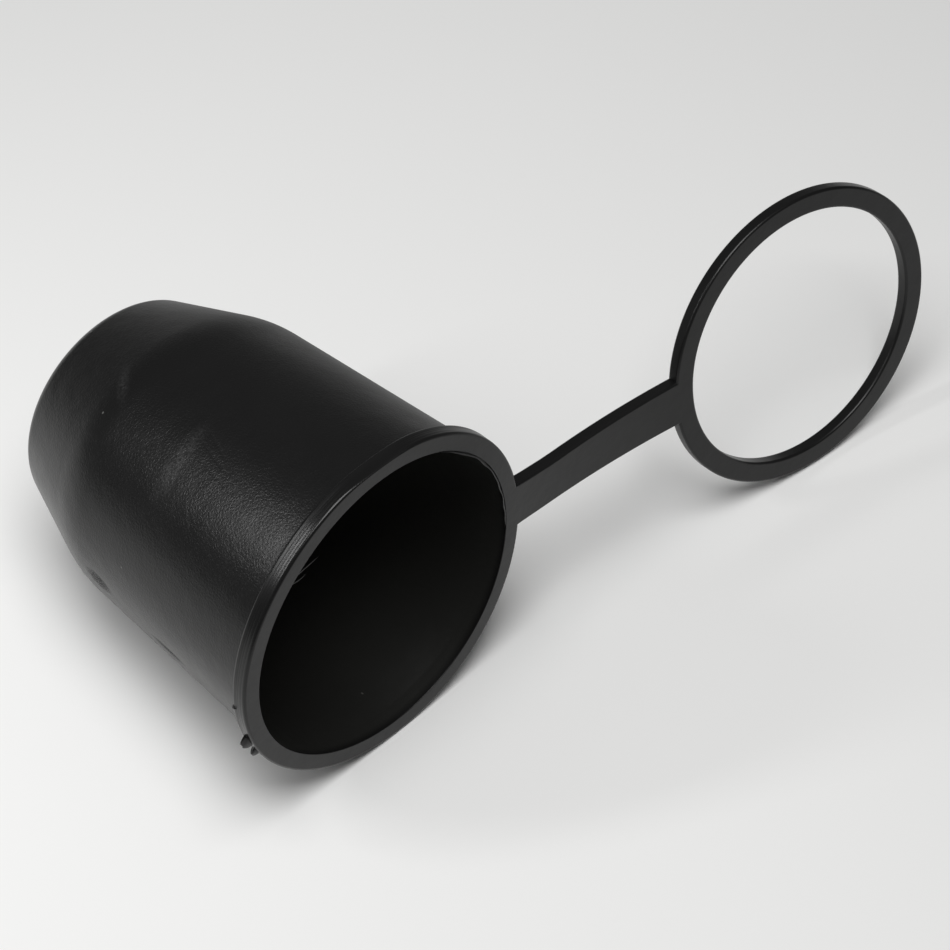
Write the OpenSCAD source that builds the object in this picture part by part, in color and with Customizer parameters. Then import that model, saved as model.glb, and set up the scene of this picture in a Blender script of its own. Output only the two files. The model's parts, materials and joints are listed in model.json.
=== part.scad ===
// Cover for a 50 mm tow ball, moulded in one piece: a tapered cup with a flange at its mouth,
// a flat strap and a ring that goes round the neck of the ball.
// It is drawn lying on its side, as it comes to rest: on the flange, the shoulder and the ring.

/* [Cup] */
// Inside diameter at the mouth
mouth_d = 54; // [51:0.5:60]
// Length of the straight stretch just inside the mouth
land_h = 3; // [2:0.5:6]
// Height of the cup, from the face of the mouth to the closed end
cup_h = 66; // [58:0.5:76]
// Thickness of the side wall
wall = 1.4; // [1:0.1:2.2]
// Thickness of the closed end
end_wall = 2; // [1.2:0.1:4]
// Draft of the wall below the shoulder, in degrees
wall_draft = 3.4; // [1:0.1:4.5]
// Height of the shoulder, from the face of the mouth
shoulder_h = 46.5; // [38:0.5:50]
// Slope of the cone above the shoulder, in degrees from the cup's axis
cone_draft = 19.5; // [14:0.5:24]
// Rounding of the shoulder
shoulder_r = 24; // [4:1:28]
// Rounding round the closed end
end_r = 3.5; // [2:0.5:6]

/* [Flange] */
// How far the flange stands out from the wall
flange_lip = 1.7; // [0.8:0.1:3]
// Thickness of the flange
flange_t = 2.8; // [2.4:0.1:4]
// Rounding of the flange's outer edges
flange_edge_r = 0.5; // [0.2:0.05:0.7]
// Fillet between the back of the flange and the wall
flange_fillet_r = 0.7; // [0.3:0.1:1]

/* [Strap] */
// Length of the strap between the flange and the ring
strap_len = 33.5; // [20:0.5:60]
// Width of the strap
strap_w = 8.2; // [5:0.2:12]
// Thickness of the strap
strap_t = 2.3; // [1.6:0.1:2.4]
// Rounding of the strap's long edges
strap_edge_r = 0.25; // [0.1:0.05:0.5]
// How far the soft strap has set away from the closed end, in degrees
strap_bend = 6.6; // [-10:0.2:15]
// How far it has set round its own length, in degrees
strap_twist = -8.8; // [-20:0.2:12]
// How far it has set to one side, in degrees
strap_sweep = 4; // [-8:0.2:8]

/* [Ring] */
// Inside diameter of the ring
ring_d = 46.5; // [36:0.5:56]
// Width of the ring's face
ring_w = 3.7; // [2.5:0.1:6]
// Thickness of the ring
ring_t = 2.3; // [1.6:0.1:3]
// Rounding of the ring's edges
ring_edge_r = 0.35; // [0.1:0.05:0.6]

/* [Gate stubs] */
// How far the longest stub of trimmed sprue stands out of the flange
stub_h = 1; // [0.5:0.1:2.5]
// Thickness of the stubs
stub_t = 1.1; // [0.6:0.1:1.6]

/* [Hidden] */
$fn = 128;

mouth_r = mouth_d / 2;
flange_r = mouth_r + wall + flange_lip;
ring_in_r = ring_d / 2;
ring_out_r = ring_in_r + ring_w;

// Straight pieces in a rounding, and in the small one of an edge of the strap
ARC_STEPS = 6;
EDGE_STEPS = 3;
// Straight pieces along the strap
STRAP_STEPS = 16;
// Share of the flat behind the flange that the fillet may take
FILLET_ROOM = 0.95;
// How far the strap's ends run into the flange and the ring, and a stub's foot into the flange
STRAP_ROOT = 1.5;
STUB_ROOT = 0.6;

// Stubs by place round the flange in degrees from the strap, width, and share of the full height
STUBS = [[160.5, 2.2, 1], [155, 1.7, 0.8], [173, 1.3, 0.5]];

// Width of a stub's torn tip on either side of its middle, as shares of its width
STUB_TIP = [-0.25, 0.35];

// Points along a rounding of radius r at corner b, between the lines b to a and b to c
function rounding(a, b, c, r, steps = ARC_STEPS) =
    let (
        to_a = (a - b) / norm(a - b),
        to_c = (c - b) / norm(c - b),
        half = acos(to_a * to_c) / 2,
        middle = (to_a + to_c) / norm(to_a + to_c),
        centre = b + middle * r / sin(half),
        start = b + to_a * r / tan(half) - centre,
        turn = 180 - 2 * half,
        side = cross(to_a, to_c) > 0 ? -1 : 1
    )
    [for (k = [0 : steps])
        let (t = side * turn * k / steps)
        centre + [start[0] * cos(t) - start[1] * sin(t), start[0] * sin(t) + start[1] * cos(t)]];

// Centre of such a rounding
function rounding_centre(a, b, c, r) =
    let (
        to_a = (a - b) / norm(a - b),
        to_c = (c - b) / norm(c - b),
        half = acos(to_a * to_c) / 2
    )
    b + (to_a + to_c) / norm(to_a + to_c) * r / sin(half);

// The cup's section, as points [radius, height above the mouth].
// The inside and the outside of the wall run parallel, so the wall keeps its thickness.
function inside_r(h) = mouth_r - (h - land_h) * tan(wall_draft);
function outside_r(h) = inside_r(h) + wall;
shoulder = [outside_r(shoulder_h), shoulder_h];
function cone_r(h) = shoulder[0] - (h - shoulder_h) * tan(cone_draft);
function cone_inside_r(h) = cone_r(h) - wall / cos(cone_draft);

// Height at which the inside of the wall meets the inside of the cone
shoulder_in_h = shoulder_h
    + (cone_inside_r(shoulder_h) - inside_r(shoulder_h)) / (tan(cone_draft) - tan(wall_draft));
shoulder_in = [inside_r(shoulder_in_h), shoulder_in_h];
end_edge = [cone_r(cup_h), cup_h];
end_edge_in = [cone_inside_r(cup_h - end_wall), cup_h - end_wall];
wall_foot = [outside_r(flange_t), flange_t];
flange_front = [flange_r, 0];
flange_back = [flange_r, flange_t];
back_fillet_r = min(flange_fillet_r, FILLET_ROOM * (flange_r - wall_foot[0] - flange_edge_r));
shoulder_in_r = max(shoulder_r - wall, 1);
end_in_r = max(end_r - wall, 1);

cup_section = concat(
    [[mouth_r, 0]],
    rounding([mouth_r, 0], flange_front, flange_back, flange_edge_r),
    rounding(flange_front, flange_back, wall_foot, flange_edge_r),
    rounding(flange_back, wall_foot, shoulder, back_fillet_r),
    rounding(wall_foot, shoulder, end_edge, shoulder_r),
    rounding(shoulder, end_edge, [0, cup_h], end_r),
    [[0, cup_h], [0, cup_h - end_wall]],
    rounding([0, cup_h - end_wall], end_edge_in, shoulder_in, end_in_r),
    rounding(end_edge_in, shoulder_in, [mouth_r, land_h], shoulder_in_r),
    [[mouth_r, land_h]]
);

// Turns about the strap's own axes: along it, across it and through its thickness
function turn_along(a) = [[1, 0, 0], [0, cos(a), -sin(a)], [0, sin(a), cos(a)]];
function turn_across(a) = [[cos(a), 0, sin(a)], [0, 1, 0], [-sin(a), 0, cos(a)]];
function turn_through(a) = [[cos(a), -sin(a), 0], [sin(a), cos(a), 0], [0, 0, 1]];

// The strap's stations, each a place on the middle of its front face and three axes as columns.
// Every step bends, sweeps and twists the strap by the same small amount.
strap_step = turn_across(strap_bend / STRAP_STEPS)
    * turn_through(strap_sweep / STRAP_STEPS)
    * turn_along(strap_twist / STRAP_STEPS);
strap_half_step = turn_across(strap_bend / STRAP_STEPS / 2)
    * turn_through(strap_sweep / STRAP_STEPS / 2);
FLAT = [[1, 0, 0], [0, 1, 0], [0, 0, 1]];
function station(k) = k == 0
    ? [[flange_r, 0, 0], FLAT]
    : let (last = station(k - 1))
        [last[0] + last[1] * strap_half_step * [strap_len / STRAP_STEPS, 0, 0], last[1] * strap_step];
strap_end = station(STRAP_STEPS);

// Place and axes of the ring, whose front face is flush with the strap's
ring_centre = strap_end[0] + strap_end[1] * [ring_out_r, 0, 0];
ring_axes = strap_end[1];
ring_normal = ring_axes * [0, 0, 1];

// How the cover lies. A rounded edge that runs round an axis is [height, radius, rounding].
rim_edge = [flange_t - flange_edge_r, flange_r - flange_edge_r, flange_edge_r];
shoulder_c = rounding_centre(wall_foot, shoulder, end_edge, shoulder_r);
shoulder_edge = [shoulder_c[1], shoulder_c[0], shoulder_r];

// The cup tips towards its closed end until the flange and the shoulder touch the ground together
rise = shoulder_edge[0] - rim_edge[0];
drop = rim_edge[1] - shoulder_edge[1];
pitch = acos((shoulder_edge[2] - rim_edge[2]) / norm([rise, drop])) - atan2(rise, drop);
rest_depth = rim_edge[0] * sin(pitch) + rim_edge[1] * cos(pitch) + rim_edge[2];

// Then it rolls about its own axis until the ring touches the ground as well
function down(roll) = [sin(roll) * cos(pitch), cos(roll) * cos(pitch), sin(pitch)];
function ring_depth(roll) =
    let (
        lean = ring_normal * down(roll),
        middle = ring_centre + ring_normal * ring_t / 2
    )
    middle * down(roll) + (ring_out_r - ring_edge_r) * sqrt(1 - lean * lean)
        + (ring_t / 2 - ring_edge_r) * abs(lean) + ring_edge_r;
function settle(low, high, steps = 40) =
    let (mid = (low + high) / 2)
    steps == 0 ? mid
        : ring_depth(mid) > rest_depth ? settle(low, mid, steps - 1) : settle(mid, high, steps - 1);
roll = settle(-30, 30);

// Moves a shape from the cup's own frame, where the mouth is at the origin and the closed end is
// up, into the lying one, where the mouth's centre stays at the origin
module lay_down() {
    rotate([-90 - pitch, 0, 0]) rotate([0, 0, roll]) children();
}

module cup() {
    rotate_extrude() polygon(cup_section);
}

// A bar of rounded section, swept through the strap's stations
module strap() {
    stations = concat(
        [[[flange_r - STRAP_ROOT, 0, 0], FLAT]],
        [for (k = [0 : STRAP_STEPS]) station(k)],
        [[strap_end[0] + strap_end[1] * [STRAP_ROOT, 0, 0], strap_end[1]]]
    );
    y = strap_w / 2;
    corners = [[-y, 0], [y, 0], [y, strap_t], [-y, strap_t]];
    section = [for (k = [0 : 3], p = rounding(
        corners[(k + 3) % 4], corners[k], corners[(k + 1) % 4], strap_edge_r, EDGE_STEPS)) p];
    n = len(section);
    last = len(stations) - 1;
    points = [for (s = stations, p = section) s[0] + s[1] * [0, p[0], p[1]]];
    sides = [for (i = [0 : last - 1], j = [0 : n - 1])
        [i * n + j, (i + 1) * n + j, (i + 1) * n + (j + 1) % n, i * n + (j + 1) % n]];
    near_cap = [for (j = [0 : n - 1]) j];
    far_cap = [for (j = [n - 1 : -1 : 0]) last * n + j];
    polyhedron(points, concat(sides, [near_cap, far_cap]), convexity = 4);
}

// The ring's section is a rectangle with rounded edges
module ring() {
    corners = [[ring_in_r, 0], [ring_out_r, 0], [ring_out_r, ring_t], [ring_in_r, ring_t]];
    section = [for (k = [0 : 3], p = rounding(
        corners[(k + 3) % 4], corners[k], corners[(k + 1) % 4], ring_edge_r)) p];
    axes = ring_axes;
    at = ring_centre;
    multmatrix([
        [axes[0][0], axes[0][1], axes[0][2], at[0]],
        [axes[1][0], axes[1][1], axes[1][2], at[1]],
        [axes[2][0], axes[2][1], axes[2][2], at[2]],
        [0, 0, 0, 1]
    ])
    rotate_extrude() polygon(section);
}

// What is left of the sprue where it was twisted off the back edge of the flange
module gate_stub(place, width, share) {
    foot = flange_r - STUB_ROOT;
    tip = flange_r + stub_h * share;
    rotate([0, 0, place]) translate([0, 0, flange_t - flange_edge_r - stub_t])
        linear_extrude(stub_t)
            polygon([
                [foot, -width / 2], [foot, width / 2],
                [tip, width * STUB_TIP[1]], [tip, width * STUB_TIP[0]]
            ]);
}

module ball_cover() {
    color("#2a2a2a") lay_down() {
        cup();
        strap();
        ring();
        for (s = STUBS) gate_stub(s[0], s[1], s[2]);
    }
}

ball_cover();
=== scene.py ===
# %% [markdown]
# # A cover for a tow ball
# The real thing is one moulding of soft black PVC: a tapered cup that pulls over the ball, a flange
# at its mouth, a flat strap, and a ring that stays round the neck of the ball.
# It could be drawn with ready-made cylinders, but each rounding, the set of the soft strap and the
# slightly squashed mouth would then have to be added by hand. Here every surface is a formula that
# numpy works out as whole arrays. The forms are then melted into one skin.

# %% Load the frame
import json
import math

import bmesh
import bpy
import numpy as np
from mathutils import Matrix, Vector


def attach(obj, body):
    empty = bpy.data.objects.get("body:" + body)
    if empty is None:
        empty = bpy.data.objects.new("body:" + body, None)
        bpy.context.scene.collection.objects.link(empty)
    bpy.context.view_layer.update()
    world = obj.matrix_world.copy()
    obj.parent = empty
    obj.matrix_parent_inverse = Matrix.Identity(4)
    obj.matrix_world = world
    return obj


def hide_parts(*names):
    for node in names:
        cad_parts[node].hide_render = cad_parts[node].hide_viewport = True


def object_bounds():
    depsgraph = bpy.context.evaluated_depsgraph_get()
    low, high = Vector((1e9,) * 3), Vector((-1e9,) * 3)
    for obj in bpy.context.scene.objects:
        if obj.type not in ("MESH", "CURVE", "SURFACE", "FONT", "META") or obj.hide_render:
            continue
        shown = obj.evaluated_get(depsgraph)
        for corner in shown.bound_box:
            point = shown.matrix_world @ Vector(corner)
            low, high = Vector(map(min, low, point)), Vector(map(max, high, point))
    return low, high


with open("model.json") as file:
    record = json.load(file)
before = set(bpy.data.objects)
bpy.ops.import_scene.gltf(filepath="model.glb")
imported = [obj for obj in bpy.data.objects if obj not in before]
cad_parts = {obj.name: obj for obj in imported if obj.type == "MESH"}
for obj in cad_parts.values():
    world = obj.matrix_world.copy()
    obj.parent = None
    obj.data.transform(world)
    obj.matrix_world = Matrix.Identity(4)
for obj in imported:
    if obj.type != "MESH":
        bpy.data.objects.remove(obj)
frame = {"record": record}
cad_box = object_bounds()
print("CAD box in mm", [[round(v * 1000, 2) for v in corner] for corner in cad_box])

# %% [markdown]
# ## Two frames
# The cover lies on its side, but it is easiest to draw standing on its mouth: the mouth's centre at
# the origin, the closed end up and the strap along x. This is the cup's own frame, and everything
# is drawn there in millimetres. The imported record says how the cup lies. The axis of its mouth gives
# the tilt, and the place of the ring's hole gives the roll.

# %% The sizes of the moulding, in millimetres and degrees
MM = 0.001
MOUTH_R, LAND_H, CUP_H = 27.0, 3.0, 65.98
WALL, END_WALL, WALL_DRAFT = 1.4, 2.0, 3.4
SHOULDER_H, CONE_DRAFT, SHOULDER_R, END_R = 46.5, 19.5, 24.0, 3.5
FLANGE_R, FLANGE_T, FLANGE_FRONT_R, FLANGE_BACK_R, FLANGE_FILLET_R = 30.1, 2.8, 0.5, 0.45, 1.0
MOUTH_EDGE_R, LAND_END_R = 0.12, 6.0
STRAP_LEN, STRAP_W, STRAP_T, STRAP_EDGE_R = 33.5, 8.2, 2.3, 0.4
STRAP_BEND, STRAP_TWIST, STRAP_SWEEP = 6.6, -8.8, 4.0
RING_IN_R, RING_W, RING_T, RING_EDGE_R = 23.25, 3.7, 2.3, 0.45
RING_OUT_R = RING_IN_R + RING_W
print("mouth", 2 * MOUTH_R, "mm, flange", 2 * FLANGE_R, "mm, ring", 2 * RING_OUT_R, "mm across")


# %% The strap's path
def turn(axis, degrees):
    """The 3 by 3 matrix of a turn about an axis."""
    return np.array(Matrix.Rotation(math.radians(degrees), 3, axis))


def strap_stations(steps=16):
    """Places and axes along the middle of the strap's front face. Each step goes on by one length in
    the direction halfway between its ends, and bends, sweeps and twists by the same small amount."""
    bend, sweep, twist = (angle / steps for angle in (STRAP_BEND, STRAP_SWEEP, STRAP_TWIST))
    half = turn("Y", bend / 2) @ turn("Z", sweep / 2)
    whole = turn("Y", bend) @ turn("Z", sweep) @ turn("X", twist)
    places, axes = [np.array([FLANGE_R, 0.0, 0.0])], [np.eye(3)]
    for _ in range(steps):
        places.append(places[-1] + axes[-1] @ half @ [STRAP_LEN / steps, 0, 0])
        axes.append(axes[-1] @ whole)
    return np.array(places), np.array(axes)


strap_places, strap_axes = strap_stations()
ring_axes = strap_axes[-1]
ring_centre = strap_places[-1] + ring_axes @ [RING_OUT_R, 0, 0]
print("ring's centre in the cup's frame, mm", ring_centre.round(2))

# %% How the cup lies
mounts = {mount["name"]: mount for mount in frame["record"]["mounts"]}
tilt = math.degrees(math.asin(mounts["mouth"]["axis"][2]))
ring_middle = ring_centre + ring_axes @ [0, 0, RING_T / 2]
unrolled = turn("X", 90 + tilt) @ mounts["ring_hole"]["pos_m"]
roll = math.degrees(math.atan2(unrolled[1], unrolled[0]) - math.atan2(ring_middle[1], ring_middle[0]))
LIE = turn("X", -90 - tilt) @ turn("Z", roll)
FLOOR_Z = cad_box[0].z
print("the cup tips", round(tilt, 3), "degrees and rolls", round(roll, 3))

# %% [markdown]
# ## The camera
# It looks down on the cover from the front left, as the photographer did. A long lens from half a
# metre keeps the round forms free of stretch. Its place and turn were worked out from the outlines of
# the mouth and the ring, so they are written as they came out: the place, and three directions.

# %% Camera
camera = bpy.data.objects.new("camera", bpy.data.cameras.new("camera"))
bpy.context.scene.collection.objects.link(camera)
bpy.context.scene.camera = camera
camera.data.lens, camera.data.sensor_width = 132.6, 36.0
camera.data.clip_start, camera.data.clip_end = 0.05, 20.0
view_right = Vector((0.7155, -0.6986, 0.00413)).normalized()
view_forward = Vector((0.43816, 0.44415, -0.7815)).normalized()
view_up = view_right.cross(view_forward).normalized()
view_right = view_forward.cross(view_up).normalized()
camera.matrix_world = Matrix.Translation((-0.216758, -0.238629, 0.436147)) @ Matrix(
    (view_right, view_up, -view_forward)).transposed().to_4x4()
print("the camera looks down by", round(math.degrees(math.asin(-view_forward.z)), 1), "degrees")

# %% [markdown]
# ## Profiles
# A moulded edge is never knife sharp, so each profile is a line through a few corners with a
# rounding at each. A bevel modifier could round the edges later, but it can't give each one its own
# radius from the drawing, and the rounding is what shows as a thin line of light.


# %% Profile helpers
def rounding(before, corner, after, radius, steps):
    """Points of one rounding. Its centre lies on the corner's bisector, radius / sin(half the angle)
    away, and the points turn round it in even steps from the one side to the other."""
    to_before, to_after = before - corner, after - corner
    to_before = to_before / np.linalg.norm(to_before)
    to_after = to_after / np.linalg.norm(to_after)
    half = math.acos(to_before @ to_after) / 2
    middle = (to_before + to_after) / np.linalg.norm(to_before + to_after)
    centre = corner + middle * radius / math.sin(half)
    x, y = corner + to_before * radius / math.tan(half) - centre
    side = -1 if to_before[0] * to_after[1] > to_before[1] * to_after[0] else 1
    a = side * np.linspace(0, math.pi - 2 * half, steps + 1)
    return centre + np.stack([x * np.cos(a) - y * np.sin(a), x * np.sin(a) + y * np.cos(a)], 1)


def profile(corners):
    """Points through corners given as (x, y, radius, steps). A radius of 0 keeps the corner."""
    places = np.array([corner[:2] for corner in corners], float)
    parts = []
    for i, (_, _, radius, steps) in enumerate(corners):
        if radius == 0:
            parts.append(places[i:i + 1])
        else:
            after = places[(i + 1) % len(corners)]
            parts.append(rounding(places[i - 1], places[i], after, radius, steps))
    return np.concatenate(parts)


def refine(points, longest):
    """The same line, with every piece longer than the given length cut into equal ones."""
    parts = []
    for start, end in zip(points[:-1], points[1:]):
        count = max(1, math.ceil(np.linalg.norm(end - start) / longest))
        parts.append(start + (end - start) * np.arange(count)[:, None] / count)
    return np.concatenate(parts + [points[-1:]])


# %% Mesh helpers
def grid_mesh(name, grid, wrap_rows=False, wrap_columns=True):
    """A mesh of four-sided faces on a grid of points (rows, columns, 3). Neighbouring rows and columns
    are joined, and the last joins the first where the grid wraps. Rows shrunk to a point stay doubled."""
    rows, columns = grid.shape[:2]
    index = np.arange(rows * columns).reshape(rows, columns)
    if wrap_rows:
        index = np.concatenate([index, index[:1]])
    if wrap_columns:
        index = np.concatenate([index, index[:, :1]], 1)
    faces = np.stack([index[:-1, :-1], index[1:, :-1], index[1:, 1:], index[:-1, 1:]], -1)
    mesh = bpy.data.meshes.new(name)
    mesh.from_pydata(grid.reshape(-1, 3).tolist(), [], faces.reshape(-1, 4).tolist())
    return mesh


def close(mesh):
    """Merges doubled points, closes open ends and turns every face outwards."""
    work = bmesh.new()
    work.from_mesh(mesh)
    bmesh.ops.remove_doubles(work, verts=work.verts, dist=1e-5)
    ends = [edge for edge in work.edges if edge.is_boundary]
    if ends:
        bmesh.ops.holes_fill(work, edges=ends)
    bmesh.ops.recalc_face_normals(work, faces=work.faces)
    print(mesh.name, len(work.faces), "faces, volume", round(work.calc_volume(), 1), "cubic mm")
    work.to_mesh(mesh)
    work.free()
    return mesh


def revolve(line, sectors):
    """Carries a line of (radius, height) round the z axis: x = radius cos a, y = radius sin a."""
    a = np.arange(sectors) * 2 * math.pi / sectors
    radius, height = line[:, :1], line[:, 1:]
    return np.stack([radius * np.cos(a), radius * np.sin(a), height + 0 * a], -1)


# %% [markdown]
# ## The cup
# The wall tapers a little up to the shoulder, and then a cone carries it to a small flat end. The
# inside follows the outside at the same wall thickness, as in any moulding, so that it cools evenly.
# The side of the flange keeps the fine rings of the turned mould. They are one or two hundredths of
# a millimetre deep, and still real geometry, because they split the light there into fine lines.

# %% The cup's profile
def inside_r(h):
    """Radius of the inside of the wall at height h."""
    return MOUTH_R - (h - LAND_H) * math.tan(math.radians(WALL_DRAFT))


def cone_r(h, inwards=0.0):
    """Radius of the cone at height h, moved inwards square to its slope."""
    slope = math.radians(CONE_DRAFT)
    shoulder = inside_r(SHOULDER_H) + WALL
    return shoulder - (h - SHOULDER_H) * math.tan(slope) - inwards / math.cos(slope)


closer = math.tan(math.radians(CONE_DRAFT)) - math.tan(math.radians(WALL_DRAFT))
inner_shoulder_h = SHOULDER_H + (cone_r(SHOULDER_H, WALL) - inside_r(SHOULDER_H)) / closer
cup_line = profile([
    (0, CUP_H, 0, 0),
    (cone_r(CUP_H), CUP_H, END_R, 10),
    (inside_r(SHOULDER_H) + WALL, SHOULDER_H, SHOULDER_R, 8),
    (inside_r(FLANGE_T + 0.3) + WALL, FLANGE_T + 0.3, FLANGE_FILLET_R, 6),
    (FLANGE_R, FLANGE_T - 0.1, FLANGE_BACK_R, 6),
    (FLANGE_R, 0, FLANGE_FRONT_R, 6),
    (MOUTH_R, 0, MOUTH_EDGE_R, 3),
    (MOUTH_R, LAND_H, LAND_END_R, 3),
    (inside_r(inner_shoulder_h), inner_shoulder_h, SHOULDER_R - WALL, 6),
    (cone_r(CUP_H - END_WALL, WALL), CUP_H - END_WALL, END_R - WALL, 6),
    (0, CUP_H - END_WALL, 0, 0),
])


def add_tool_rings(line):
    """Lowers the flange's side by a depth that follows the height in straight stretches: three shallow
    grooves with flats between them, as a turning tool leaves them."""
    h = line[:, 1]
    side = (line[:, 0] > FLANGE_R - 1e-6) & (h > FLANGE_FRONT_R) & (h < FLANGE_T - 0.6)
    heights = [0.65, 0.80, 0.92, 1.25, 1.38, 1.52, 1.66, 1.82, 1.95, 2.1]
    depths = [0.0, 0.014, 0.0, 0.0, 0.018, 0.006, 0.006, 0.018, 0.0, 0.0]
    ringed = line.copy()
    ringed[side, 0] -= np.interp(h[side], heights, depths)
    return ringed


# The pieces of the line are short on the outside, very short under the tool rings and long inside
front = int(np.argmax(cup_line[:, 1] < FLANGE_T / 2))
cup_line = np.concatenate([
    refine(cup_line[:front - 1], 1.3),
    refine(cup_line[front - 1:front + 1], 0.05)[:-1],
    refine(cup_line[front:], 2.6),
])
cup_line = add_tool_rings(cup_line)
cup_mesh = close(grid_mesh("cup", revolve(cup_line, 360)))
print(len(cup_line), "points in the cup's profile")

# %% [markdown]
# ## The strap and the ring
# Both are flat bars with softened edges. The strap's section is carried through its stations, and the
# ring's section goes once round the ring's own axis. Their front faces are flush, as they left the
# same flat half of the mould. At its root the strap widens a little on its upper side, where it is
# pulled hardest in use.


# %% The strap
def section_loop(low, high, edge_r, steps):
    """A rectangle from one corner to the other with rounded corners, as a closed loop."""
    corners = [(high[0], low[1]), (low[0], low[1]), (low[0], high[1]), (high[0], high[1])]
    return profile([(x, y, edge_r, steps) for x, y in corners])


def sweep(loop, places, axes):
    """Carries a loop of (y, z) through stations: point = place + y times axis y + z times axis z."""
    return places[:, None] + np.einsum("sij,lj->sli", axes[:, :, 1:], loop)


ROOT, ROOT_FLARE, FLARE_LEN = 1.5, 1.15, 9.0
strap_loop = section_loop((-STRAP_W / 2, 0), (STRAP_W / 2, STRAP_T), STRAP_EDGE_R, 4)
root_places = np.concatenate([
    strap_places[:1] - [ROOT, 0, 0], strap_places, strap_places[-1:] + ring_axes @ [ROOT, 0, 0]])
root_axes = np.concatenate([strap_axes[:1], strap_axes, strap_axes[-1:]])
strap_grid = sweep(strap_loop, root_places, root_axes)
flare = np.clip(1 - (strap_grid[..., 0] - FLANGE_R) / FLARE_LEN, 0, 1) ** 2
strap_grid[..., 1] -= ROOT_FLARE * flare * (0.5 - strap_grid[..., 1] / STRAP_W)

# %% The ring
ring_loop = section_loop((RING_IN_R, 0), (RING_OUT_R, RING_T), RING_EDGE_R, 5)
ring_grid = revolve(ring_loop, 320)


def into_ring(points):
    """From the cup's frame into the ring's."""
    return (points - ring_centre) @ ring_axes


def out_of_ring(points):
    """From the ring's frame into the cup's."""
    return points @ ring_axes.T + ring_centre


def flush(points, near=2e-5):
    """Puts heights that are almost nought at nought, so that faces meant to be flush are."""
    flat = points.copy()
    flat[np.abs(flat[..., 2]) < near, 2] = 0
    return flat


strap_mesh = close(grid_mesh("strap", flush(into_ring(strap_grid))))
ring_mesh = close(grid_mesh("ring", ring_grid, wrap_rows=True))

# %% [markdown]
# ## Flash and gate stubs
# Where the halves of a mould meet, a little plastic creeps into the gap and stays as flash: here a
# wavy lip inside the upper right of the mouth, and two loose slivers on its left. The sprue was
# twisted off the back edge of the flange and left three torn stubs. A displacement map could roughen
# the edge, but only separate forms overhang it.


# %% Flash at the mouth
def at(place, radius, h):
    """Points round the cup: x = radius cos(place), y = radius sin(place), with places in degrees."""
    a = np.radians(place)
    return np.stack([radius * np.cos(a), radius * np.sin(a), h + 0 * a], -1)


LIP_START, LIP_END = 298, 366


def flash_reach(place):
    """How far the lip of flash reaches inwards, in millimetres: two waves between tapered ends."""
    along = (place - LIP_START) / (LIP_END - LIP_START)
    ends = np.clip(along / 0.12, 0, 1) * np.clip((1 - along) / 0.1, 0, 1)
    waves = 0.36 + 0.11 * (1 - along) * np.cos(np.radians(24 * (place - 311))) + 0.10 * along * (
        1 + np.sin(np.radians(39 * place)))
    return ends * waves + 0.01


places = np.linspace(LIP_START, LIP_END, 150)
reach = flash_reach(places)
curl = 0.05 * np.sin(np.radians(17 * places))
# Each pair is a share of the reach, or less than nought inside the wall, and a height
lip_section = [
    (-0.15, 0.45), (-0.15, 0.30), (0.3, 0.22), (0.5, -0.06), (1.0, -0.12), (1.1, -0.02), (0.6, 0.3)]
lip_grid = np.stack([
    at(places, MOUTH_R - (share * reach if share > 0 else share), h + (curl if share > 0 else 0))
    for share, h in lip_section], 1)
lip_mesh = close(grid_mesh("lip of flash", lip_grid))


def sliver(name, knots, width):
    """A thin flat strip along a curve through three points, at even times: its half width shrinks as
    1 - t^3, and its section is a flat oval."""
    start, middle, end = np.array(knots, float)
    t = np.linspace(0, 1, 14)[:, None]
    line = (1 - t) ** 2 * start + 2 * t * (1 - t) * middle + t ** 2 * end
    along = np.gradient(line, axis=0)
    across = np.cross(along, [0, 0, 1])
    across /= np.linalg.norm(across, axis=1)[:, None]
    u = np.arange(8) * math.pi / 4
    half = width / 2 * (1 - t ** 3) + 0.01
    grid = line[:, None] + (half * np.cos(u))[..., None] * across[:, None]
    grid[..., 2] += 0.4 * half * np.sin(u)
    return close(grid_mesh(name, grid))


sliver_meshes = [
    sliver("long sliver", [at(227.0, 27.3, 0.9), at(233.5, 26.4, 0.2), at(240.5, 24.3, 0.5)], 0.34),
    sliver("short sliver", [at(225.0, 27.3, 1.2), at(229.0, 25.5, 0.3), at(232.6, 24.3, 0.7)], 0.3),
]


# %% Gate stubs
def stub(name, place, behind, width, reach, lean, seed):
    """A torn stub: ovals along the way out, whose half width falls as (1 - 0.25 t) sqrt(1 - 0.8 t^4)
    and whose outline wavers with three and five waves."""
    t = np.linspace(0, 1, 12)[:, None]
    u = np.arange(32) * math.pi / 16
    waver = 1 + 0.10 * np.sin(3 * u + seed + 2.5 * t) + 0.06 * np.sin(5 * u - 2 * seed + 4 * t)
    half = (1 - 0.25 * t) * np.sqrt(1 - 0.8 * t ** 4)
    out = FLANGE_R - 0.9 + (reach + 0.9) * t + 0.08 * np.sin(2 * u + seed) * t
    side = width / 2 * half * waver * np.cos(u) + lean * t ** 2
    h = FLANGE_T - behind + 0.65 * half * waver * np.sin(u)
    grid = np.stack([out + 0 * u, side, h], -1) @ turn("Z", place).T
    return close(grid_mesh(name, grid))


stub_meshes = [
    stub("stub, large", 163.5, 1.1, 3.3, 1.3, 0.3, 0.4),
    stub("stub, middle", 156.9, 1.1, 2.4, 0.9, -0.1, 2.1),
    stub("stub, small", 179.2, 0.35, 1.3, 0.2, 0.1, 4.0),
]

# %% [markdown]
# ## One skin
# The forms overlap, as they would if they were only pushed into each other. A Boolean union melts
# them into one closed skin with clean corners where they meet.


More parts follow.
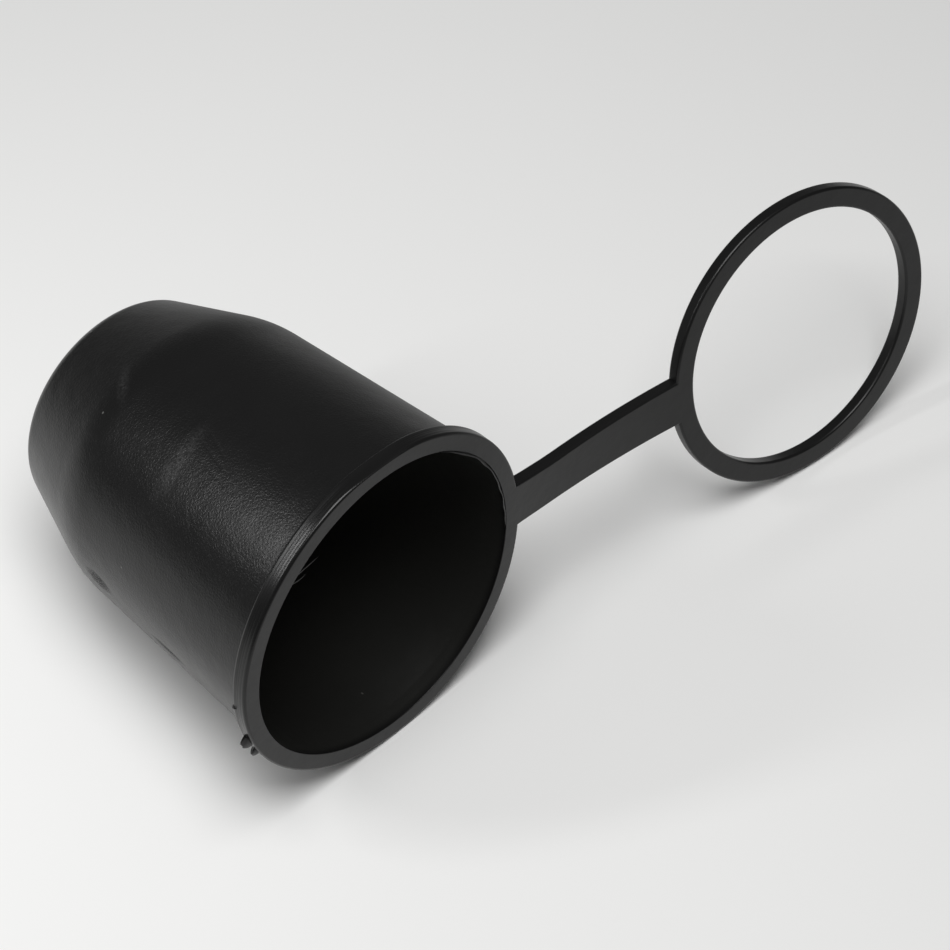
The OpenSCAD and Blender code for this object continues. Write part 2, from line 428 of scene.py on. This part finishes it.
# %% Melt the forms together
def melt(name, meshes):
    """The union of closed meshes, as a new mesh. The first takes in the others one by one."""
    objects = [bpy.data.objects.new(f"{name}_{mesh.name}", mesh) for mesh in meshes]
    for piece in objects:
        bpy.context.scene.collection.objects.link(piece)
    for other in objects[1:]:
        union = objects[0].modifiers.new("union", "BOOLEAN")
        union.object, union.operation, union.solver = other, "UNION", "EXACT"
    depsgraph = bpy.context.evaluated_depsgraph_get()
    melted = bpy.data.meshes.new_from_object(objects[0].evaluated_get(depsgraph))
    melted.name = name
    for piece in objects:
        bpy.data.objects.remove(piece)
    return melted


def read_points(mesh):
    """A mesh's points as an array of rows."""
    points = np.empty(len(mesh.vertices) * 3)
    mesh.vertices.foreach_get("co", points)
    return points.reshape(-1, 3)


def write_points(mesh, points):
    """Puts an array of rows back as a mesh's points."""
    mesh.vertices.foreach_set("co", points.astype(np.float32).ravel())
    mesh.update()


tail_mesh = melt("tail", [ring_mesh, strap_mesh])
write_points(tail_mesh, flush(out_of_ring(read_points(tail_mesh))))
skin_mesh = melt("ball_cover_skin", [cup_mesh, tail_mesh, lip_mesh] + sliver_meshes + stub_meshes)
skin_mesh = close(skin_mesh)
print(len(skin_mesh.vertices), "points in the melted skin")

# %% [markdown]
# ## Set and sag
# A soft moulding that has been packed and handled is never quite round. The mouth is squashed a
# little. The squash fades to nothing at the shoulder, and the closed end keeps its shape.


# %% Squash the mouth
def out_of_round(angle):
    """How far the rim departs from a circle, as a share of its radius: a shift, an oval, a slight
    three-cornered form, and a little shrinkage all round."""
    a = angle
    return (0.0108 * np.cos(a + math.radians(152)) + 0.0283 * np.cos(2 * a + math.radians(136))
        + 0.0108 * np.cos(3 * a - math.radians(174)) - 0.011)


# The rim's top stops at CROWN, and at the strap the rim goes in by TAIL_SHIFT
CROWN, CROWN_SOFT = FLANGE_R - 0.015, 0.3
TAIL_SHIFT = -0.87


def squash(points):
    """Moves points to or from the axis by a share that fades to nought at the shoulder. The rim's top
    stays under its drawn height, as a soft minimum. The strap and the ring move as one."""
    x, y, h = points.T
    radius, angle = np.hypot(x, y), np.arctan2(y, x)
    share = out_of_round(angle) * np.clip(1 - h / SHOULDER_H, 0, 1) ** 2
    away = np.clip((radius - FLANGE_R) / 5, 0, 1) * (np.abs(angle) < 1)
    away = away * away * (3 - 2 * away)
    moved = points.copy()
    moved[:, 0] += (1 - away) * share * np.minimum(radius, FLANGE_R) * np.cos(angle) + away * TAIL_SHIFT
    moved[:, 1] += (1 - away) * share * np.minimum(radius, FLANGE_R) * np.sin(angle)
    moved[:, 1] = CROWN_SOFT * np.logaddexp(moved[:, 1] / CROWN_SOFT, -CROWN / CROWN_SOFT)
    return moved


def lie_down(points):
    """From the cup's frame in millimetres to the row frame in metres."""
    return points @ LIE.T * MM


def rest(points):
    """Lifts what would be under the floor onto it: the soft rim lies a little flat where it rests."""
    rested = points.copy()
    rested[:, 2] = np.maximum(rested[:, 2], FLOOR_Z)
    return rested


crown = squash(np.array([[0.0, -FLANGE_R, 1.0]]))
print("the rim's top moves by", round(float(-crown[0, 1] - FLANGE_R), 2), "mm")

# %% [markdown]
# ## Finish helpers
# Colours are written as they are seen on a screen, and one function turns them into the linear
# values that Blender works with. Another adds a node of any kind. That keeps the lists below
# readable: each entry names an input and what goes into it.


# %% Colour and node helpers
def linear(hex_colour):
    """A screen colour such as #1a2b3c as linear red, green, blue and alpha."""
    parts = [int(hex_colour[i:i + 2], 16) / 255 for i in (1, 3, 5)]
    return [p / 12.92 if p <= 0.04045 else ((p + 0.055) / 1.055) ** 2.4 for p in parts] + [1.0]


def add_node(tree, kind, inputs=()):
    """Adds a node. Each pair is an input's name or number, or a property's name, and its value. A
    value that is another node's socket is linked."""
    node = tree.nodes.new(kind)
    for name, value in inputs:
        if isinstance(value, bpy.types.NodeSocket):
            tree.links.new(node.inputs[name], value)
        elif isinstance(name, int) or name in node.inputs:
            node.inputs[name].default_value = value
        else:
            setattr(node, name, value)
    return node


def new_material(name):
    """An empty material and its node tree."""
    material = bpy.data.materials.new(name)
    material.use_nodes = True
    material.node_tree.nodes.clear()
    return material, material.node_tree


print("the cover's black, linear:", [round(v, 4) for v in linear("#101010")[:3]])

# %% [markdown]
# ## Soft black PVC
# The cover is plasticised PVC with carbon black, injected into a steel mould. It is nearly black all
# through, and what the eye reads is the sheen: a soft gloss that mirrors the pale floor low down, and a
# fine leathery grain on the outside of the cup, where the mould was etched.
# Everything on the wall is placed in the cup's own frame, in millimetres. A painted picture could hold
# the grain and the marks, but it would need an unwrapped skin and would blur close up.

# %% Places on the cup
cover_material, tree = new_material("soft PVC, moulded, etched grain")
place = add_node(tree, "ShaderNodeTexCoord")
in_mm = add_node(tree, "ShaderNodeMapping", [
    ("vector_type", "POINT"), ("Vector", place.outputs["Object"]),
    ("Rotation", Matrix(LIE.T.tolist()).to_euler()), ("Scale", (1 / MM, 1 / MM, 1 / MM)),
]).outputs[0]
# The inside's number makes the inside duller and also carries its painted light.
grain_amount, polish, inside = (
    add_node(tree, "ShaderNodeAttribute", [("attribute_name", name)]).outputs["Fac"]
    for name in ("grain", "polish", "inside"))


def wall_r(h):
    """Radius of the outside of the cup at height h."""
    return inside_r(h) + WALL if h < SHOULDER_H else cone_r(h)


def mark(degrees, h, along, up, tilted=0.0, core=0.0, strength=1.0, deep=4):
    """A soft oval on the wall, at full strength in its core and 0 outside. Its middle is at a place
    round the cup and a height, and its half sizes along the wall, up it and into it are in mm."""
    oval = add_node(tree, "ShaderNodeMapping", [
        ("vector_type", "TEXTURE"), ("Vector", in_mm), ("Scale", (deep, along, up)),
        ("Location", at(degrees, wall_r(h), h).tolist()),
        ("Rotation", (math.radians(tilted), 0, math.radians(degrees)))])
    away = add_node(tree, "ShaderNodeVectorMath", [("operation", "LENGTH"), (0, oval.outputs[0])])
    return add_node(tree, "ShaderNodeMapRange", [
        ("interpolation_type", "SMOOTHSTEP"), ("Value", away.outputs["Value"]),
        ("From Min", 1.0), ("From Max", core), ("To Max", strength)]).outputs[0]


def together(*marks):
    """Several marks as one: the strongest of them at each point."""
    strongest = marks[0]
    for other in marks[1:]:
        strongest = add_node(tree, "ShaderNodeMath", [
            ("operation", "MAXIMUM"), (0, strongest), (1, other)]).outputs[0]
    return strongest


print("the wall's radius half way up, mm:", round(wall_r(SHOULDER_H / 2), 2))

# %% [markdown]
# ### The etched grain
# The etching left creases about half a millimetre apart and a hundredth of a millimetre deep. The
# borders of Voronoi cells, rounded off, make such creases, and a slow noise bends them so that no
# straight line shows. Plain noise would give lumps and no creases.

# %% The etched grain
CREASES_PER_MM, GRAIN_DEPTH = 1.7, 0.0115
wander = add_node(tree, "ShaderNodeTexNoise", [("Vector", in_mm), ("Scale", 1.6), ("Detail", 2.0)])
warped = add_node(tree, "ShaderNodeVectorMath", [
    ("operation", "MULTIPLY_ADD"), (0, wander.outputs["Color"]), (1, (0.7, 0.7, 0.7)), (2, in_mm)])
creases = add_node(tree, "ShaderNodeTexVoronoi", [
    ("feature", "DISTANCE_TO_EDGE"), ("Vector", warped.outputs[0]), ("Scale", CREASES_PER_MM)])
cell_tops = add_node(tree, "ShaderNodeMapRange", [
    ("interpolation_type", "SMOOTHSTEP"), ("Value", creases.outputs["Distance"]), ("From Max", 0.3)])
grain_depth = add_node(tree, "ShaderNodeMath", [
    ("operation", "MULTIPLY"), (0, grain_amount), (1, GRAIN_DEPTH)])
print("creases", round(1 / CREASES_PER_MM, 2), "mm apart and", GRAIN_DEPTH, "mm deep")

# %% [markdown]
# ### Wear
# Soft PVC greys where it is rubbed, and takes scuffs and wrinkles. There is a rubbed band across the
# wall, a line on the shoulder, wear along the top, two torn scuffs low on the side away from the
# strap, a few wrinkles and some small light specks. Each is a soft oval at its own place, broken up
# by a fine noise. Noise alone would spread the wear evenly, and real wear is where things touched.

# %% Worn places
rubbed_band = mark(237, 29.4, 9.5, 2.5)
rubbed = together(
    rubbed_band, mark(248, 48, 6.0, 1.7, tilted=44, strength=0.6),
    mark(299, 56, 9, 8, strength=0.55), mark(304, 40, 8, 16, strength=0.55))
scuffs = together(mark(172, 40, 2.4, 3.8, core=0.2), mark(166.3, 23, 1.4, 5.0, core=0.1))
wrinkles = together(
    mark(245.5, 24, 0.6, 5.0, tilted=-14), mark(249.5, 25.5, 0.5, 4.0, tilted=-20),
    mark(241, 22, 0.6, 5.5, tilted=-9))
# Four small spots, coloured light grey.
specks = together(
    mark(235, 47.4, 0.3, 0.25, core=0.3), mark(260.1, 64.1, 0.35, 0.2, core=0.3),
    mark(191.9, 32.4, 0.25, 0.2, core=0.3), mark(92.2, 7.9, 0.22, 0.35, core=0.3))
tears = add_node(tree, "ShaderNodeTexNoise", [("Vector", in_mm), ("Scale", 2.4), ("Detail", 4.0)])
streaks = add_node(tree, "ShaderNodeMapRange", [
    ("Value", tears.outputs["Fac"]), ("From Min", 0.35), ("From Max", 0.7)])
rubs, torn = (
    add_node(tree, "ShaderNodeMath", [
        ("operation", "MULTIPLY"), (0, worn), (1, streaks.outputs[0])]).outputs[0]
    for worn in (rubbed, scuffs))
print(len(tree.nodes), "nodes so far")

# %% [markdown]
# ### Relief
# Uneven cooling leaves slow waves a few millimetres long and less than a tenth of a millimetre high.
# On them lie the grain, the raised scuffs and the sunken wrinkles. The polished side of the flange is
# stiffer and keeps only a little of the waves. They are too shallow to change the outline, so they
# are bumps and not geometry.

# %% Waves, grain and torn places
WAVE_HEIGHT, TORN_HEIGHT, WRINKLE_DEPTH = 0.07, 0.75, 0.03
BAND_SWELL, POLISH_CALM = 0.12, 0.85
waves = add_node(tree, "ShaderNodeTexNoise", [("Vector", in_mm), ("Scale", 0.3), ("Detail", 3.0)])
wavy = add_node(tree, "ShaderNodeMath", [
    ("operation", "MULTIPLY_ADD"), (0, rubbed_band), (1, BAND_SWELL), (2, waves.outputs["Fac"])])
less_on_polish = add_node(tree, "ShaderNodeMath", [
    ("operation", "MULTIPLY_ADD"), (0, polish), (1, -POLISH_CALM), (2, 1.0)])
wave_bump = add_node(tree, "ShaderNodeBump", [
    ("Distance", WAVE_HEIGHT * MM), ("Height", wavy.outputs[0]),
    ("Strength", less_on_polish.outputs[0])])
torn_amount = add_node(tree, "ShaderNodeMath", [
    ("operation", "MULTIPLY"), (0, scuffs), (1, TORN_HEIGHT)])
torn_relief = add_node(tree, "ShaderNodeMath", [
    ("operation", "MULTIPLY"), (0, tears.outputs["Fac"]), (1, torn_amount.outputs[0])])
raised = add_node(tree, "ShaderNodeMath", [
    ("operation", "MULTIPLY_ADD"), (0, cell_tops.outputs[0]), (1, grain_depth.outputs[0]),
    (2, torn_relief.outputs[0])])
relief = add_node(tree, "ShaderNodeMath", [
    ("operation", "MULTIPLY_ADD"), (0, wrinkles), (1, -WRINKLE_DEPTH), (2, raised.outputs[0])])
relief_bump = add_node(tree, "ShaderNodeBump", [
    ("Distance", 1.0 * MM), ("Strength", 1.0), ("Height", relief.outputs[0]),
    ("Normal", wave_bump.outputs[0])])
print("waves of", WAVE_HEIGHT, "mm under grain of", GRAIN_DEPTH, "mm")

# %% [markdown]
# ### Sheen and colour
# Moulded PVC has a soft, even gloss. Here plasticiser has come to the surface as a light bloom, which
# makes the gloss uneven and is heaviest near the top on the strap's side. The flange's side came from
# bare turned steel and is glossier. The inside is duller, and its grey, which grows lighter deeper in,
# is painted light that lifts the shaded hollow. Torn places mirror almost nothing. The index of PVC is
# about 1.53. The bloom takes some of the mirror away, so 1.40 matches this one better.

# %% Sheen and colour
haze = add_node(tree, "ShaderNodeTexNoise", [("Vector", in_mm), ("Scale", 0.12), ("Detail", 4.0)])
bloom = mark(308, 33, 27, 66, core=0.2, deep=26)
sheen = add_node(tree, "ShaderNodeMapRange", [
    ("Value", haze.outputs["Fac"]), ("To Min", 0.27), ("To Max", 0.37)]).outputs[0]
for amount, change in ((polish, -0.06), (inside, 0.12), (scuffs, 0.04), (bloom, 0.17)):
    sheen = add_node(tree, "ShaderNodeMath", [
        ("operation", "MULTIPLY_ADD"), (0, amount), (1, change), (2, sheen)]).outputs[0]

# The first grey is painted light: it lifts the shaded inside, more the deeper in it lies.
colour = linear("#101010")
for amount, greyer in ((inside, "#3b3b38"), (rubs, "#3a3a3a"), (specks, "#5c5c5a")):
    colour = add_node(tree, "ShaderNodeMix", [
        ("data_type", "RGBA"), (0, amount), (6, colour), (7, linear(greyer))]).outputs[2]

mirror = add_node(tree, "ShaderNodeMath", [
    ("operation", "MULTIPLY_ADD"), (0, torn), (1, -0.42), (2, 0.5)])
skin_shader = add_node(tree, "ShaderNodeBsdfPrincipled", [
    ("IOR", 1.40), ("Base Color", colour), ("Roughness", sheen), ("Normal", relief_bump.outputs[0]),
    ("Specular IOR Level", mirror.outputs[0])])
add_node(tree, "ShaderNodeOutputMaterial", [("Surface", skin_shader.outputs[0])])
print(len(tree.nodes), "nodes in", cover_material.name)

# %% [markdown]
# ## Where each finish lies
# The grain stops at the flange, the inside starts at the mouth's edge, and the polish is on the
# flange's side only. Three numbers on each point say so. They are worked out while the skin still
# stands upright and round, and then it is squashed and laid down.

# %% Grain, inside and polish
def smoothstep(x, low, high):
    """Goes from 0 at low to 1 at high along t t (3 - 2 t)."""
    t = np.clip((x - low) / (high - low), 0, 1)
    return t * t * (3 - 2 * t)


def set_attribute(mesh, name, values):
    """Stores one number for each point of a mesh."""
    mesh.attributes.new(name, "FLOAT", "POINT").data.foreach_set("value", values.astype(np.float32))


def outside_of_wall(points):
    """1 on the outer half of the cup's wall and closed end, 0 on the inner half."""
    radius, h = np.hypot(points[:, 0], points[:, 1]), points[:, 2]
    middle = np.where(h < SHOULDER_H, inside_r(h) + WALL / 2, cone_r(h, WALL / 2))
    return ((radius > middle) | (h > CUP_H - END_WALL / 2)).astype(float)


drawn = read_points(skin_mesh)
radius, height = np.hypot(drawn[:, 0], drawn[:, 1]), drawn[:, 2]
outer = outside_of_wall(drawn)
set_attribute(skin_mesh, "grain", outer * smoothstep(height, FLANGE_T, FLANGE_T + 1.5))
# The inside's number grows deeper in, where the hollow is most shaded, so its grey there is painted
# light.
deeper = 0.25 * smoothstep(height, 0.2, 1.2) + 0.75 * smoothstep(height, 3, 40)
set_attribute(skin_mesh, "inside", (1 - outer) * deeper * (radius < FLANGE_R - 1))
on_flange = smoothstep(radius, FLANGE_R - 0.6, FLANGE_R - 0.3) * (radius < FLANGE_R + 1.5)
off_strap = np.arctan2(np.abs(drawn[:, 1]), drawn[:, 0]) > 0.15
below_back = 1 - smoothstep(height, 1.2, FLANGE_T - 0.4)
set_attribute(skin_mesh, "polish", on_flange * off_strap * below_back)
write_points(skin_mesh, rest(lie_down(squash(drawn))))
print("points on the inner half of the wall:", int((outer < 0.5).sum()), "of", len(drawn))

# %% Put the skin in the scene
skin = bpy.data.objects.new("ball_cover_skin", skin_mesh)
bpy.context.scene.collection.objects.link(skin)
skin_mesh.shade_smooth()
skin_mesh.set_sharp_from_angle(angle=math.radians(38))
weigh = skin.modifiers.new("flat faces stay flat", "WEIGHTED_NORMAL")
weigh.keep_sharp = True
skin_mesh.materials.clear()
skin_mesh.materials.append(cover_material)
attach(skin, "root")
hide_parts("ball_cover")
skin_mesh.calc_loop_triangles()
print("skin:", len(skin_mesh.loop_triangles), "triangles")

# %% [markdown]
# ## The floor and the light
# A pale matt floor goes under the cover. The cover is black and glossy, so it shows its
# surroundings more than its own colour: the bright floor low on its sides, and a dim room above.
# One soft box at the back left draws the long highlight on the cup, and a large one high overhead
# lights the floor without showing in the cover.

# %% Floor
floor_mesh = bpy.data.meshes.new("floor")
floor_corners = [(-3, -3, FLOOR_Z), (3, -3, FLOOR_Z), (3, 3, FLOOR_Z), (-3, 3, FLOOR_Z)]
floor_mesh.from_pydata(floor_corners, [], [(0, 1, 2, 3)])
floor = bpy.data.objects.new("floor", floor_mesh)
bpy.context.scene.collection.objects.link(floor)
floor_material, floor_tree = new_material("pale matt board")
# Matt board is pressed paper with a chalky coat. It is bright and even, and hardly mirrors at all.
floor_shader = add_node(floor_tree, "ShaderNodeBsdfPrincipled", [
    ("Base Color", linear("#f4f4f3")), ("Roughness", 0.9), ("Specular IOR Level", 0.2)])
add_node(floor_tree, "ShaderNodeOutputMaterial", [("Surface", floor_shader.outputs[0])])
floor_mesh.materials.append(floor_material)
print("the floor lies at", round(FLOOR_Z / MM, 2), "mm")


# %% Lights
def soft_box(name, azimuth, elevation, distance, width, height, radiance, turned=0):
    """An area light that faces the cup from a direction: azimuth from +y towards +x, and elevation
    above the floor. Its power in watts is pi times its area times the radiance."""
    a, e = math.radians(azimuth), math.radians(elevation)
    away = Vector((math.sin(a) * math.cos(e), math.cos(a) * math.cos(e), math.sin(e)))
    lamp = bpy.data.lights.new(name, "AREA")
    lamp.shape, lamp.size, lamp.size_y = "RECTANGLE", width, height
    lamp.energy = math.pi * width * height * radiance
    box = bpy.data.objects.new(name, lamp)
    bpy.context.scene.collection.objects.link(box)
    facing = away.to_track_quat("Z", "Y").to_matrix().to_4x4()
    spin = Matrix.Rotation(math.radians(turned), 4, "Z")
    box.matrix_world = Matrix.Translation(Vector((0, 0.03, 0)) + away * distance) @ facing @ spin
    print(name, "gives", round(lamp.energy, 3), "W")


soft_box("strip, back left", -55.2, 42.3, 0.215, 0.098, 0.020, 17.0, turned=-61)
soft_box("soft box, overhead", 225, 80, 0.62, 0.38, 0.38, 7.2)

world = bpy.data.worlds.new("dim studio")
world.use_nodes = True
world.node_tree.nodes.clear()
dim = add_node(world.node_tree, "ShaderNodeBackground", [
    ("Color", (1, 1, 1, 1)), ("Strength", 0.12)])
add_node(world.node_tree, "ShaderNodeOutputWorld", [("Surface", dim.outputs[0])])
bpy.context.scene.world = world
bpy.context.scene.view_settings.view_transform = "Standard"
